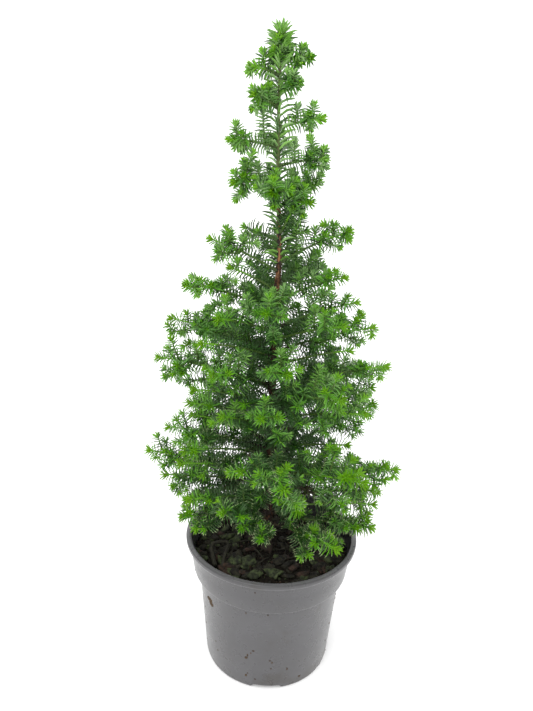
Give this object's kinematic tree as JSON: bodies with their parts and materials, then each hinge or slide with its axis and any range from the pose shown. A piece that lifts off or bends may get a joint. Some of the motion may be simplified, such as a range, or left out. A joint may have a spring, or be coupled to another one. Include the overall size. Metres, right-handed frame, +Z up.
{
  "type": "potted atlantic white cedar",
  "caption": "Young atlantic white cedar: a slender upright conifer with soft needle foliage in a narrow cone, growing in compost in a round tapered nursery pot.",
  "frame": {"origin": "centre of the pot's flat underside, on the level that it stands on", "axes": "+Z up along the trunk, +X to the right of the picture, -Y towards its viewer"},
  "size_m": [0.2198, 0.1767, 0.521],
  "materials": {
    "pot": "satin",
    "compost": "matt",
    "bark": "matt",
    "foliage": "satin"
  },
  "bodies": {
    "root": {"bough_28": "bark", "bough_31": "bark", "bough_34": "bark", "bough_35": "bark", "bough_38": "bark", "bough_39": "bark", "bough_40": "bark", "compost": "compost", "foliage_01": "foliage", "foliage_02": "foliage", "foliage_03": "foliage", "foliage_04": "foliage", "foliage_05": "foliage", "foliage_06": "foliage", "foliage_07": "foliage", "foliage_08": "foliage", "foliage_09": "foliage", "foliage_10": "foliage", "foliage_11": "foliage", "foliage_12": "foliage", "foliage_13": "foliage", "foliage_14": "foliage", "foliage_15": "foliage", "foliage_16": "foliage", "foliage_17": "foliage", "foliage_18": "foliage", "foliage_19": "foliage", "foliage_20": "foliage", "foliage_21": "foliage", "foliage_22": "foliage", "foliage_23": "foliage", "foliage_24": "foliage", "foliage_25": "foliage", "foliage_26": "foliage", "foliage_27": "foliage", "foliage_28": "foliage", "foliage_29": "foliage", "foliage_30": "foliage", "foliage_31": "foliage", "foliage_32": "foliage", "foliage_33": "foliage", "foliage_34": "foliage", "foliage_35": "foliage", "foliage_36": "foliage", "foliage_37": "foliage", "foliage_38": "foliage", "foliage_39": "foliage", "foliage_40": "foliage", "foliage_41": "foliage", "foliage_42": "foliage", "foliage_43": "foliage", "foliage_44": "foliage", "foliage_45": "foliage", "foliage_46": "foliage", "foliage_47": "foliage", "foliage_48": "foliage", "foliage_49": "foliage", "leader_foliage": "foliage", "pot": "pot", "trunk": "bark"}
  },
  "joints": []
}
